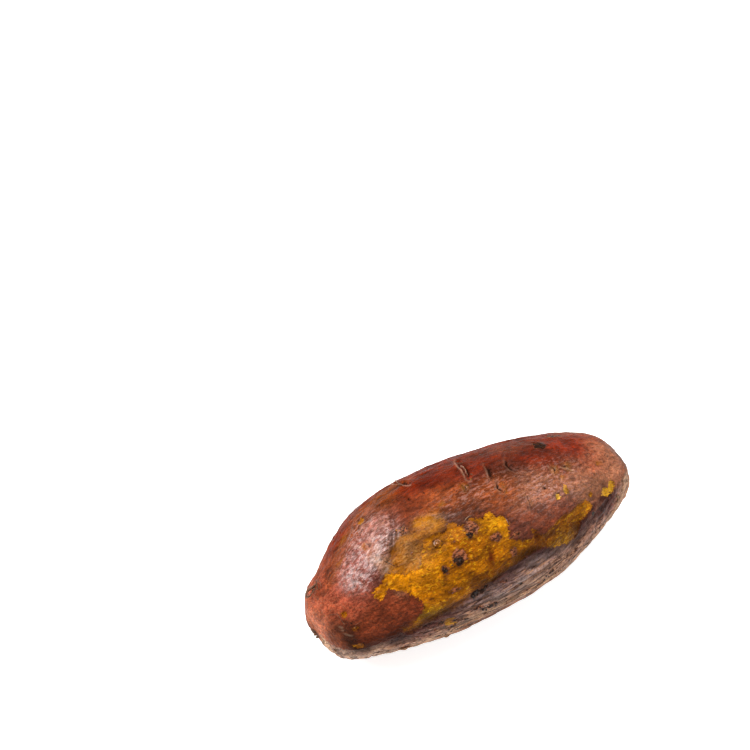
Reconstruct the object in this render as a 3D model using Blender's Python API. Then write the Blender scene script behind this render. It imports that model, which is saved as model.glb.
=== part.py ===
"""A whole baked sweet potato in its skin, lying on its side on a table.

The root grew, and was baked, as one piece, so it is one solid. Its long axis runs along X, from the
blunt end that was broken off the vine at -X to the rounded tip at +X. It stands on z = 0, on the small
flat spot where its weight pressed it soft against the baking tray. Metres, +Z up.
"""

import math

import bmesh
import bpy
from mathutils import Vector

# Driving dimensions.
LENGTH = 0.148
WIDTH = 0.0660
HEIGHT = 0.0625
FLAT_DEPTH = 0.0018  # how much of the round underside the resting spot takes off

# The body's cross-sections, from the vine end to the tip. Each row holds its place as a share of the
# half length, its girth as a share of the fullest one, and how far its middle lies sideways (+Y) and
# upwards of the axis, as shares of the half width and half height.
SECTIONS = (
    (-1.0, 0.28, 0.05, -0.17),
    (-0.97, 0.45, 0.01, -0.16),
    (-0.88, 0.575, -0.02, -0.14),
    (-0.68, 0.795, 0.06, -0.08),
    (-0.50, 0.935, 0.08, -0.03),
    (-0.27, 1.0, 0.04, 0.0),
    (-0.015, 0.99, 0.0, 0.0),
    (0.23, 0.93, -0.035, -0.02),
    (0.455, 0.835, -0.01, -0.06),
    (0.65, 0.705, 0.0, -0.11),
    (0.82, 0.545, 0.0, -0.15),
    (0.92, 0.415, -0.02, -0.17),
    (0.97, 0.21, -0.05, -0.19),
)
BLUNT_END = (-0.99, 0.05, -0.17)  # place, sideways and upwards, as above
TIP_END = (0.985, -0.06, -0.19)

# Every cross-section is an oval with three soft shoulders, as a root that has sagged in the oven has.
SIDES = 12
SHOULDERS = 3
SHOULDER_AT = math.radians(160)  # from +Y over +Z: the one along the front, just above mid height
SHOULDER_RISE = 0.03  # as a share of the radius

# Catmull-Clark smoothing draws the body in from its cage, so the cage is drawn this much fuller.
SMOOTHING = 2
CAGE_GIRTH = 1.05
CAGE_LENGTH = 1.012

# What brings the middle of the finished body's box over the origin.
MIDDLE_X = 0.00051
MIDDLE_Y = -0.00044

SKIN_COLOUR = (0.26, 0.075, 0.045, 1.0)
SKIN_ROUGHNESS = 0.45


def clear_scene():
    for thing in list(bpy.data.objects):
        bpy.data.objects.remove(thing)


def place(along, sideways, upwards):
    """A point on the body's middle line, from its shares of the half sizes."""
    return Vector((
        MIDDLE_X + along * LENGTH / 2 * CAGE_LENGTH,
        MIDDLE_Y + sideways * WIDTH / 2,
        (1 + upwards) * HEIGHT / 2 - FLAT_DEPTH,
    ))


def ring(cage, along, girth, sideways, upwards):
    """One cross-section of the cage, as a ring of points from +Y over +Z."""
    middle = place(along, sideways, upwards)
    points = []
    for side in range(SIDES):
        angle = math.tau * side / SIDES
        shoulder = 1 + SHOULDER_RISE * math.cos(SHOULDERS * (angle - SHOULDER_AT))
        reach = girth * shoulder * CAGE_GIRTH
        across = Vector((0, math.cos(angle) * WIDTH / 2, math.sin(angle) * HEIGHT / 2))
        points.append(cage.verts.new(middle + across * reach))
    return points


def body_cage():
    """The closed cage: quads from ring to ring, and a fan of triangles over each end."""
    cage = bmesh.new()
    rings = [ring(cage, *section) for section in SECTIONS]
    blunt = cage.verts.new(place(*BLUNT_END))
    tip = cage.verts.new(place(*TIP_END))
    for side in range(SIDES):
        following = (side + 1) % SIDES
        for near, far in zip(rings, rings[1:]):
            cage.faces.new((near[side], near[following], far[following], far[side]))
        cage.faces.new((blunt, rings[0][following], rings[0][side]))
        cage.faces.new((tip, rings[-1][side], rings[-1][following]))
    bmesh.ops.recalc_face_normals(cage, faces=cage.faces)
    return cage


def skin_material():
    material = bpy.data.materials.new("baked_skin")
    material.use_nodes = True
    shader = material.node_tree.nodes["Principled BSDF"]
    shader.inputs["Base Color"].default_value = SKIN_COLOUR
    shader.inputs["Roughness"].default_value = SKIN_ROUGHNESS
    shader.inputs["Metallic"].default_value = 0.0
    return material


def table_cutter():
    """The block under z = 0 that takes the round underside down to its flat spot."""
    depth = HEIGHT
    bpy.ops.mesh.primitive_cube_add(size=1, location=(0, 0, -depth / 2))
    block = bpy.context.object
    block.name = "table_cutter"
    block.scale = (LENGTH * 2, WIDTH * 2, depth)
    bpy.ops.object.transform_apply(location=False, rotation=False, scale=True)
    block.display_type = "WIRE"
    block.hide_render = True
    return block


def sweet_potato():
    mesh = bpy.data.meshes.new("sweet_potato")
    cage = body_cage()
    cage.to_mesh(mesh)
    cage.free()
    mesh.shade_smooth()
    mesh.materials.append(skin_material())
    body = bpy.data.objects.new("sweet_potato", mesh)
    bpy.context.collection.objects.link(body)

    rounding = body.modifiers.new("rounding", "SUBSURF")
    rounding.levels = SMOOTHING
    rounding.render_levels = SMOOTHING

    resting_spot = body.modifiers.new("resting_spot", "BOOLEAN")
    resting_spot.operation = "DIFFERENCE"
    resting_spot.object = table_cutter()
    resting_spot.solver = "EXACT"
    return body


clear_scene()
sweet_potato()
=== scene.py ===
"""The looks of a whole baked sweet potato in its skin, built around its plain solid.

Lengths along and across the root are in millimetres while it is shaped, and in metres once it is a mesh.
A place on the root is given as (along, around): millimetres along X, and degrees round the root's middle
line, from +Y over the top, so 90 is the top, 180 the front and 270 the underside.
"""

import math
import random

import bmesh
import bpy
import numpy as np
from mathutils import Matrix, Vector, noise
from mathutils.bvhtree import BVHTree


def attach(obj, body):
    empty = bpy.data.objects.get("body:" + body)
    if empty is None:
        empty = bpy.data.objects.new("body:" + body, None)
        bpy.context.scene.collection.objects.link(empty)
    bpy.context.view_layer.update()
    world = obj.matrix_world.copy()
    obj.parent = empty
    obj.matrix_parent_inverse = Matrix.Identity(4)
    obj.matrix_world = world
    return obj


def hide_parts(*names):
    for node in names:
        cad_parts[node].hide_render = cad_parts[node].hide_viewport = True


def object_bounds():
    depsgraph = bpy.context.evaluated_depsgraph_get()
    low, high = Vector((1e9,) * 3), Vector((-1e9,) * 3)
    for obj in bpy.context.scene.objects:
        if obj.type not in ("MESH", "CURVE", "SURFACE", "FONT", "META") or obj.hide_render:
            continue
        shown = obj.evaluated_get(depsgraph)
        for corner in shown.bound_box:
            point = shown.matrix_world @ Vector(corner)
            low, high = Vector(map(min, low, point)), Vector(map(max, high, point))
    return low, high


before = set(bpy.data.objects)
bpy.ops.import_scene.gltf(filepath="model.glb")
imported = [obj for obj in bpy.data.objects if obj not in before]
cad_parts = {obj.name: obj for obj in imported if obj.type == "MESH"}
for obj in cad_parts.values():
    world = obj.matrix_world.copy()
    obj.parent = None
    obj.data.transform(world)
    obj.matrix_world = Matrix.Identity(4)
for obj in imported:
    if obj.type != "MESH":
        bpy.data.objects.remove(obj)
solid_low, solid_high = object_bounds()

# ---- The grown body ---------------------------------------------------------------------------------
# The root is one piece, skin and flesh together. It swelled in the ground, was broken from its vine at
# the blunt end, and sagged a little as it baked. Here an even net of cells is drawn over its solid.

MM = 1000.0
MIDDLE_HEIGHT = 28.0  # of the root's middle line above the table
CELLS_ALONG = 13
CELLS_ACROSS = 6  # on each of the four sides
EVENING_ROUNDS = 12
FITTING_ROUNDS = 4

def egg_of_cells():
    """Corners and four-sided cells of an even net round a ball, one unit in every direction."""
    size = (CELLS_ALONG, CELLS_ACROSS, CELLS_ACROSS)
    numbers, corners, cells = {}, [], []

    def number_of(place):
        if place not in numbers:
            numbers[place] = len(corners)
            u, v, w = (2 * at / cells_here - 1 for at, cells_here in zip(place, size))
            corners.append((
                u * math.sqrt(1 - v * v / 2 - w * w / 2 + v * v * w * w / 3),
                v * math.sqrt(1 - w * w / 2 - u * u / 2 + w * w * u * u / 3),
                w * math.sqrt(1 - u * u / 2 - v * v / 2 + u * u * v * v / 3),
            ))
        return numbers[place]

    for facing in range(3):
        first, second = (facing + 1) % 3, (facing + 2) % 3
        for end in (0, size[facing]):
            for i in range(size[first]):
                for j in range(size[second]):
                    cell = []
                    for step_i, step_j in ((0, 0), (1, 0), (1, 1), (0, 1)):
                        place = [0, 0, 0]
                        place[facing], place[first], place[second] = end, i + step_i, j + step_j
                        cell.append(number_of(tuple(place)))
                    cells.append(cell if end else cell[::-1])
    return np.array(corners), cells

def mesh_points(mesh):
    """The mesh's vertices in millimetres."""
    flat = np.empty(len(mesh.vertices) * 3, np.float32)
    mesh.vertices.foreach_get("co", flat)
    return flat.reshape(-1, 3).astype(float) * MM

def set_mesh_points(mesh, points):
    mesh.vertices.foreach_set("co", (points / MM).astype(np.float32).ravel())
    mesh.update()

def rounded(body, levels):
    """A new mesh: the body's own, smoothed and split this many times."""
    smoothing = body.modifiers.new("rounding", "SUBSURF")
    smoothing.levels = levels
    graph = bpy.context.evaluated_depsgraph_get()
    finer = bpy.data.meshes.new_from_object(body.evaluated_get(graph), depsgraph=graph)
    body.modifiers.remove(smoothing)
    return finer

def swap_mesh(body, mesh):
    spent = body.data
    body.data = mesh
    bpy.data.meshes.remove(spent)

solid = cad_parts["sweet_potato"]
solid_surface = BVHTree.FromPolygons(
    [solid.matrix_world @ corner.co * MM for corner in solid.data.vertices],
    [face.vertices[:] for face in solid.data.polygons],
)

def onto_solid(points):
    return np.array([solid_surface.find_nearest(point)[0] for point in points.tolist()])

egg, cells = egg_of_cells()
centre = (np.array(solid_low) + np.array(solid_high)) / 2 * MM
half_sizes = (np.array(solid_high) - np.array(solid_low)) / 2 * MM
egg = onto_solid(centre + egg * half_sizes)

root_mesh = bpy.data.meshes.new("sweet_potato_root")
root_mesh.from_pydata((egg / MM).tolist(), [], cells)
sides_of_cells = np.array([edge.vertices[:] for edge in root_mesh.edges])
for _ in range(EVENING_ROUNDS):
    sums, counts = np.zeros_like(egg), np.zeros(len(egg))
    for near, far in (sides_of_cells.T, sides_of_cells.T[::-1]):
        np.add.at(sums, near, egg[far])
        np.add.at(counts, near, 1)
    egg = onto_solid(sums / counts[:, None])
set_mesh_points(root_mesh, egg)
root = bpy.data.objects.new("sweet_potato_root", root_mesh)
bpy.context.collection.objects.link(root)

# Smoothing draws the net in, so its corners are moved out until the smoothed net lies on the solid.
swap_mesh(root, rounded(root, 1))
net = onto_solid(mesh_points(root.data))
for _ in range(FITTING_ROUNDS):
    set_mesh_points(root.data, net)
    smoothed_mesh = rounded(root, 1)
    smoothed = mesh_points(smoothed_mesh)[: len(net)]
    bpy.data.meshes.remove(smoothed_mesh)
    net = net + (onto_solid(smoothed) - smoothed)
set_mesh_points(root.data, net)
swap_mesh(root, rounded(root, 3))

points = mesh_points(root.data)
outward = np.empty(len(points) * 3, np.float32)
root.data.vertex_normals.foreach_get("vector", outward)
outward = outward.reshape(-1, 3).astype(float)
along = points[:, 0]
around = np.degrees(np.arctan2(points[:, 2] - MIDDLE_HEIGHT, points[:, 1])) % 360
girth = np.hypot(points[:, 2] - MIDDLE_HEIGHT, points[:, 1])

# ---- What baking did to it --------------------------------------------------------------------------
# The skin wrinkled as it lost water, loosened from the flesh and came off in one big patch and several
# small ones. Where side roots had grown it has slits with raised lips, and sugar burnt to dark scabs.

PATCH_MERIDIAN = 125.0  # the outlines are measured flat to either side of this line along the root

# Where the skin has come off and shows the orange flesh.
BARE_PATCH = (
    (-54, 115), (-54, 121), (-53, 125), (-50, 123), (-48, 119), (-46, 123), (-43, 130), (-40, 137),
    (-39, 145), (-42, 153), (-44, 159), (-35, 155), (-26, 152), (-20, 152), (-15, 149), (-10, 151),
    (-3, 148), (7, 147), (15, 148), (18, 153), (26, 159), (31, 160), (36, 151), (42, 149), (44, 146),
    (42, 139), (34, 138), (24, 138), (18, 140), (15, 137), (13, 132), (12, 139), (7, 135), (3, 129),
    (4, 123), (5, 119), (5, 114), (2, 112), (1, 106), (-3, 108), (-5, 106), (-8, 103), (-10, 106),
    (-13, 105), (-14, 101), (-16, 99), (-19, 102), (-25, 100), (-28, 100), (-30, 105), (-32, 110),
    (-34, 116), (-40, 117), (-43, 111), (-46, 107), (-48, 109), (-50, 112),
)
# Where the skin is still on, but so thin and loose that the flesh shows through it.
THIN_SKIN = (
    ((-34, 88), (-37, 87), (-40, 90), (-42, 95), (-43, 101), (-45, 106), (-43, 111), (-40, 117),
     (-34, 116), (-32, 110), (-28, 100), (-26, 95), (-24, 100), (-18, 100), (-16, 96), (-19, 92),
     (-24, 95), (-29, 91)),
    ((-16, 96), (-16, 93), (-18, 90), (-21, 85), (-26, 82), (-27, 83), (-27, 88), (-23, 94)),
)

def placed(place):
    """The root's point, outward direction and girth at a place given as (along, around)."""
    turn = (around - place[1] + 180) % 360 - 180
    nearest = np.argmin(np.hypot(along - place[0], np.radians(turn) * girth))
    return points[nearest], outward[nearest], girth[nearest]

def flattened(places_along, places_around, girths):
    turn = (places_around - PATCH_MERIDIAN + 180) % 360 - 180
    return np.stack([places_along, np.radians(turn) * girths], -1)

def depth_inside(outline):
    """How deep each point lies inside the outline, in mm, and below zero outside it."""
    corners = np.array(outline, float)
    corners = flattened(corners[:, 0], corners[:, 1], np.array([placed(place)[2] for place in outline]))
    here = flattened(along, around, girth)
    nearest = np.full(len(here), np.inf)
    inside = np.zeros(len(here), bool)
    for start, end in zip(corners, np.roll(corners, -1, axis=0)):
        side = end - start
        share = np.clip((here - start) @ side / (side @ side), 0, 1)
        nearest = np.minimum(nearest, np.hypot(*(here - start - share[:, None] * side).T))
        crosses = (start[1] > here[:, 1]) != (end[1] > here[:, 1])
        rise = side[1] if side[1] else 1e-9
        inside ^= crosses & (here[:, 0] < start[0] + side[0] * (here[:, 1] - start[1]) / rise)
    return np.where(inside, nearest, -nearest)

def lumps(size, stretch=1.0, seed=0):
    """Soft noise from about -1 to 1, in lumps this many mm across, drawn out along the root."""
    spots = points / (size * stretch, size, size) + seed * 17.31
    return np.array([noise.noise(spot) for spot in spots.tolist()]) * 1.6

def soft_step(values, low, high):
    share = np.clip((values - low) / (high - low), 0, 1)
    return share * share * (3 - 2 * share)

def bell(values, width):
    return np.exp(-((values / width) ** 2))

def frame_at(place, turn=0.0):
    """A point of the surface, and the directions out of, along and across it there, turned in degrees."""
    point, out, _ = placed(place)
    lengthwise = np.array((1.0, 0.0, 0.0)) - out[0] * out
    lengthwise /= np.linalg.norm(lengthwise)
    crosswise = np.cross(out, lengthwise)
    c, s = math.cos(math.radians(turn)), math.sin(math.radians(turn))
    return point, out, c * lengthwise + s * crosswise, c * crosswise - s * lengthwise

def distance_in(place, reach_along, reach_around, slant=0.0, shift=0.0):
    """Distance from a place on the root, in shares of the two reaches, slanted by this many degrees."""
    point, out, lengthwise, crosswise = frame_at(place, -slant)
    offset = points + shift - point
    depth = offset @ out
    return np.sqrt(
        (offset @ lengthwise / reach_along) ** 2
        + (offset @ crosswise / reach_around) ** 2
        + (depth / (2 * max(reach_along, reach_around))) ** 2
    )

def near(place, reach_along, reach_around, slant=0.0, shift=0.0):
    """1 at a place on the root, fading smoothly over the two reaches in mm."""
    return bell(distance_in(place, reach_along, reach_around, slant, shift), 1.0)

def along_path(path):
    """Each point's distance from a path of places in mm, its share of the way along, and its side."""
    stops = [placed(place) for place in path]
    nearest = np.full(len(points), np.inf)
    share_of_path = np.zeros(len(points))
    side_of_path = np.ones(len(points))
    lengths = [np.linalg.norm(b[0] - a[0]) for a, b in zip(stops, stops[1:])]
    done = 0.0
    for (start, out, _), (end, _, _), length in zip(stops, stops[1:], lengths):
        step = end - start
        share = np.clip((points - start) @ step / (step @ step), 0, 1)
        offset = points - start - share[:, None] * step
        distance = np.linalg.norm(offset, axis=1)
        closer = distance < nearest
        nearest[closer] = distance[closer]
        share_of_path[closer] = (done + share[closer] * length) / sum(lengths)
        side_of_path[closer] = np.sign(offset[closer] @ np.cross(step, out))
        done += length
    return nearest, share_of_path, side_of_path

def spot_depth(place, half_length, half_width, slant=0.0):
    """How deep each point lies inside an oval spot, in mm, and below zero outside it."""
    return (1 - distance_in(place, half_length, half_width, slant)) * min(half_length, half_width)

ragged = 0.5 * lumps(3.2, seed=1) + 0.22 * lumps(1.5, seed=2)
bare = depth_inside(BARE_PATCH) + ragged
thin = np.maximum(*[depth_inside(outline) for outline in THIN_SKIN]) + ragged

# Small spots of thin skin: place, half length, half width, slant.
THIN_SPOTS = (
    ((-1, 80), 1.6, 2.6, 0), ((12, 95), 1.2, 2.6, 0), ((-13, 84), 1.6, 1.2, 0), ((-47, 73), 1.8, 2.4, 20),
    ((-50, 46), 4.0, 1.6, -10), ((-57, 60), 4.0, 1.2, -10), ((37, 98), 2.4, 2.6, 0),
    ((43, 101), 2.4, 2.4, 0), ((38, 108), 1.6, 1.4, 0), ((57, 112), 3.0, 1.0, 20), ((18, 112), 1.0, 2.4, 0),
    ((-20, 335), 3.0, 2.0, 0),
)
# Small spots of bare flesh: place, half length, half width, slant.
BARE_SPOTS = (
    ((-66, 123), 1.2, 1.1, 0), ((-65, 145), 1.0, 0.8, 0), ((-66, 170), 2.2, 1.0, 10),
    ((-41, 51), 1.6, 1.6, 0), ((-31, 170), 2.7, 2.2, 0), ((36, 120), 1.2, 1.7, 20),
    ((31, 122), 0.9, 1.2, 20), ((45, 139), 1.4, 0.8, 0), ((53, 148), 2.4, 1.8, 30),
    ((57.5, 149), 2.4, 1.8, -30), ((-30, 240), 5.0, 2.5, 10), ((20, 325), 6.0, 2.0, 5),
    ((45, 10), 4.0, 1.8, -10), ((-8, 350), 1.8, 1.4, 0), ((-50, 330), 2.5, 1.4, 0),
    ((33, 228), 2.2, 1.2, 0),
)
for place, half_length, half_width, slant in THIN_SPOTS:
    thin = np.maximum(thin, spot_depth(place, half_length, half_width, slant) + 0.8 * ragged - 0.6)
for place, half_length, half_width, slant in BARE_SPOTS:
    bare = np.maximum(bare, spot_depth(place, half_length, half_width, slant) + 0.8 * ragged)

# The skin thins out, too, where the patch meets the ridge.
away, *_ = along_path(((-47, 164), (-40, 158), (-26, 152.5), (-15, 149.5)))
thin = np.maximum(thin, 1.3 - 0.7 * away + ragged)

# Dark scabs of dried sap: place, half length, half width, slant, share burnt black.
SCABS = (
    ((-9, 110), 3.2, 2.6, 20, 0.0), ((-11.5, 113.5), 1.6, 1.3, 0, 1.0), ((-19, 122.5), 2.9, 2.6, 30, 0.0),
    ((-19.8, 125.6), 2.8, 1.7, 25, 1.0), ((-26.5, 127), 1.2, 1.9, 20, 0.8), ((-2, 124), 2.8, 1.4, 25, 0.25),
    ((2, 139), 1.6, 1.6, 0, 0.3), ((-26, 143), 2.6, 0.9, 0, 0.0), ((-32, 84), 2.0, 1.8, 0, 0.45),
    ((-18, 113), 0.5, 0.5, 0, 0.0), ((5, 129), 2.6, 1.0, 10, 0.45), ((38, 67), 3.1, 2.5, 0, 0.85),
    ((-18, 153.5), 3.6, 1.5, 10, 1.0), ((-13, 152.5), 1.6, 0.8, 0, 0.9), ((49, 50), 4.0, 1.6, 0, 0.45),
    ((27.7, 110), 0.8, 0.7, 0, 1.0), ((43, 154), 1.4, 1.0, 10, 0.9), ((-7, 154), 1.8, 0.5, 8, 0.8),
    ((-13, 170), 2.2, 1.4, 0, 0.6), ((-4, 176), 1.4, 0.8, 0, 0.5), ((-24, 184), 1.8, 0.8, 0, 0.5),
    ((25, 20), 5.0, 2.2, 10, 0.7), ((-40, 350), 3.0, 2.4, 0, 0.5), ((-5, 268), 16.0, 6.0, 0, 0.6),
    ((30, 275), 9.0, 4.0, 0, 0.6), ((-45, 262), 7.0, 4.0, 0, 0.5),
)
# The shrunken band along the front is crusted with small specks, which lie along it.
CRUST_SPECK_COUNT = 46
scatter = random.Random(7)
CRUST_SPECKS = [
    (
        (scatter.uniform(-46, 40), scatter.uniform(163, 194)),
        scatter.uniform(0.5, 2.0),
        scatter.uniform(0.35, 0.7),
        scatter.uniform(-20, 20),
        scatter.uniform(0.2, 0.9),
    )
    for _ in range(CRUST_SPECK_COUNT)
]
scab = np.full(len(points), -9.0)
burnt = np.zeros(len(points))
for place, half_length, half_width, slant, black in (*SCABS, *CRUST_SPECKS):
    spot = spot_depth(place, half_length, half_width, slant) + (0.9 + 0.7 * black) * ragged
    scab = np.maximum(scab, spot)
    burnt = np.maximum(burnt, black * soft_step(spot, -0.2, 0.5))

# The height of the skin above the smooth body, in mm.
height = 0.45 * lumps(24, 1.7, seed=3) + 0.22 * lumps(9, 2.2, seed=12)

# The folds: the crease beside the swollen lobe, and the ridge along the front with its sunken side.
CREASE = (
    (-31, 62), (-33, 69), (-35, 77), (-38, 85), (-40, 91), (-43, 96), (-47, 101), (-51, 107),
)
RIDGE = (
    (-69, 179), (-57, 172), (-47, 166), (-40, 159), (-26, 153), (-15, 150), (-3, 149), (10, 148), (20, 155),
    (28, 160), (35, 157), (45, 154), (53, 155),
)
away, share, side = along_path(CREASE)
ends = np.sin(np.pi * np.clip(share, 0.02, 0.98)) ** 0.6
crease = bell(side * away + 0.9, 1.0) * ends
silver_fold = bell(side * away - 1.6, 1.3) * ends
height += 1.0 * soft_step(side * away, -1.2, 2.0) * bell(np.maximum(side * away - 2.5, 0), 7) * ends
height -= 1.1 * crease
away, share, side = along_path(RIDGE)
below = side * away  # mm below the ridge, towards the table
ends = np.sin(np.pi * np.clip(share, 0.02, 0.98)) ** 0.4
ridge = bell(below - 0.6, 1.0) * ends
height -= 0.5 * ridge
height -= 0.45 * soft_step(below, -1.0, 1.5) * bell(np.maximum(below - 1.5, 0), 5) * ends

# The shrunken band along the front, the wet lobe, and the plain skin each wrinkle in their own way.
band = soft_step(around, 142, 156) * soft_step(-around, -262, -235) * soft_step(below, -0.6, 1.0)
lobe = np.maximum(near((-43, 74), 12, 13), near((-54, 84), 9, 9.5))
lobe = soft_step(lobe, 0.12, 0.7) * (1 - soft_step(thin, -1.0, 1.0))
fine_ribs, ribs = lumps(1.3, 3.2, seed=6), lumps(2.1, 12, seed=7)
wrinkles = (0.85 - 0.4 * band) * (0.22 * lumps(3.2, 3, seed=4) + 0.13 * lumps(1.5, 2, seed=5))
wrinkles += lobe * (0.15 * fine_ribs - 0.10 * lumps(3.2, 3, seed=4) - 0.10 * bell(fine_ribs, 0.15))
wrinkles += band * (0.32 * ribs - 0.34 * bell(ribs, 0.12) + 0.2 * lumps(1.3, 5, seed=14))

covered = 1 - soft_step(bare, -0.3, 0.3)
flesh_grain = 0.2 * lumps(2.3, 1.5, seed=8) + 0.16 * lumps(1.2, 1.3, seed=9) + 0.3 * lumps(7, 1.8, seed=10)
skin_step = 0.35 * (1 - 0.8 * soft_step(thin, -2.5, 0.5))
torn_rim = 1 + 0.3 * bell(bare + 0.6, 0.6)
height += covered * (wrinkles + skin_step * torn_rim) + (1 - covered) * flesh_grain
crust = soft_step(scab, -0.2, 0.5)
height += crust * (0.06 + 0.16 * lumps(1.3, seed=11))

# Slits that side roots left, with raised lips: the path, depth and half width in mm, and how pale a lip.
SLITS = (
    (((-19, 37), (-17.5, 44), (-17, 51)), 1.5, 1.0, 0.7),
    (((6.5, 50), (5.5, 57), (5.5, 63), (3.5, 75)), 1.7, 1.0, 0.4),
    (((13, 69), (12.5, 75), (10.5, 83)), 1.1, 0.65, 0.2),
    (((22, 71), (20, 77), (20, 81), (21, 86)), 1.0, 0.6, 0.1),
    (((11.5, 88), (10, 93), (11, 98)), 0.8, 0.55, 0.2), (((-1.5, 75), (-0.5, 80), (-1, 84)), 0.4, 0.5, 0.0),
    (((-22, 62), (-22, 68)), 0.7, 0.45, 0.0), (((18.5, 107), (18, 114), (16.5, 121)), 0.35, 0.35, 0.1),
    (((59, 165), (60, 177)), 0.7, 0.6, 0.3), (((36, 94), (37.5, 98), (36, 102)), 0.5, 0.5, 0.5),
    (((41, 98), (43, 100), (44, 104)), 0.5, 0.5, 0.6), (((-46, 57), (-45, 62)), 0.6, 0.4, 0.0),
    (((27.5, 109.5), (28, 110.5)), 0.5, 0.4, 0.0), (((38, 60), (39, 68)), 0.9, 0.6, 0.0),
    (((-52, 15), (-51, 27)), 1.0, 0.7, 0.2), (((-35, 345), (-34, 358)), 1.1, 0.7, 0.4),
    (((-14, 5), (-13, 17)), 0.8, 0.6, 0.0), (((8, 338), (9, 352)), 1.1, 0.8, 0.5),
    (((28, 348), (29, 359)), 0.8, 0.6, 0.1), (((44, 330), (45, 345)), 0.9, 0.6, 0.3),
    (((-20, 215), (-19, 226)), 0.8, 0.6, 0.2), (((14, 205), (15, 214)), 0.7, 0.5, 0.0),
    (((-60, 300), (-59, 318)), 0.9, 0.6, 0.2), (((0, 300), (1, 312)), 0.9, 0.7, 0.3),
    (((-69.5, 134), (-69, 146), (-67, 157)), 0.12, 0.15, 0.3),
)
slit, lip = np.zeros(len(points)), np.zeros(len(points))
for path, depth, half_width, paleness in SLITS:
    away, share, side = along_path(path)
    ends = np.sin(np.pi * np.clip(share, 0.08, 0.92)) ** 0.6
    ends = np.where((share <= 0) | (share >= 1), 0.45, ends)
    wander = away + 0.25 * ragged
    groove = bell(wander, half_width) * ends
    height -= depth * groove
    height += 0.3 * bell(wander - 2 * half_width, 0.8 * half_width) * ends
    slit = np.maximum(slit, groove * min(1.0, 0.5 + 0.5 * depth))
    lip = np.maximum(lip, paleness * bell(wander - 1.7 * half_width, 0.45) * ends * (side > 0))

# A ring-shaped pore in the bare patch, and the puckered scars at the two ends.
PORE = (-24, 107)
pore = distance_in(PORE, 1.0, 1.0)
height += 0.45 * bell(pore - 1.25, 0.35) - 0.2 * bell(pore, 0.6)
slit = np.maximum(slit, 0.62 * bell(pore - 1.95, 0.4))
END_SCARS = (((-74, 1.0, 19.0), 5.0, 0.4), ((74, -1.0, 24.5), 3.0, 0.5))  # point, reach, depth in mm
for spot, reach, depth in END_SCARS:
    offset = points - np.array(spot)
    spread_out = np.hypot(offset[:, 1], offset[:, 2])
    on_end = np.abs(offset[:, 0]) < 12
    turn = np.arctan2(offset[:, 2], offset[:, 1])
    pucker = np.sin(turn * 9 + 2.5 * lumps(6, seed=15)) * bell(spread_out - reach, 0.5 * reach)
    height += on_end * (0.25 * pucker - depth * bell(spread_out, 0.55 * reach))
    scab = np.maximum(scab, np.where(on_end, 0.5 * reach - spread_out, -9) + ragged)
    burnt = np.maximum(burnt, on_end * bell(spread_out, 0.3 * reach) * 0.45)

points = points + outward * height[:, None]
points[:, 2] = np.maximum(points[:, 2], 0.0)
set_mesh_points(root.data, points)
root.data.shade_smooth()

def keep(piece, name, values):
    """Stores one value a vertex for the material to read."""
    stored_values = piece.data.attributes.new(name, "FLOAT", "POINT")
    stored_values.data.foreach_set("value", values.astype(np.float32))

# Where the skin is glossy; the material also paints pale sheen strokes there.
sheen = np.maximum.reduce([
    0.06 * (1 - covered), 0.1 * band, 0.9 * silver_fold, 0.62 * lobe,
    0.5 * near((30, 108), 20, 10), 0.3 * near((0, 88), 24, 7),
])
for name, values in (
    ("bare", bare), ("thin", thin), ("scab", scab), ("burnt", burnt), ("slit", slit), ("lip", lip),
    ("furrowed", band * soft_step(below, 1.5, 6.0) * (1 - 0.65 * soft_step(along, 46, 64))),
    ("gloss_and_painted_sheen", np.clip(sheen, 0, 1)), ("painted_valley_shade", np.clip(0.5 - 1.7 * wrinkles - 0.35 * ridge, 0, 1)),
):
    keep(root, name, values)

# ---- Its skin and flesh -----------------------------------------------------------------------------
# Thin red-brown skin, moist with syrup, over bright orange flesh. The skin is orange-brown along the back,
# darkened there by painted shade, rose and mauve on top, and dry and grey along the band by the front edge.

# orange-brown skin, darkened by painted shade along the back
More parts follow.
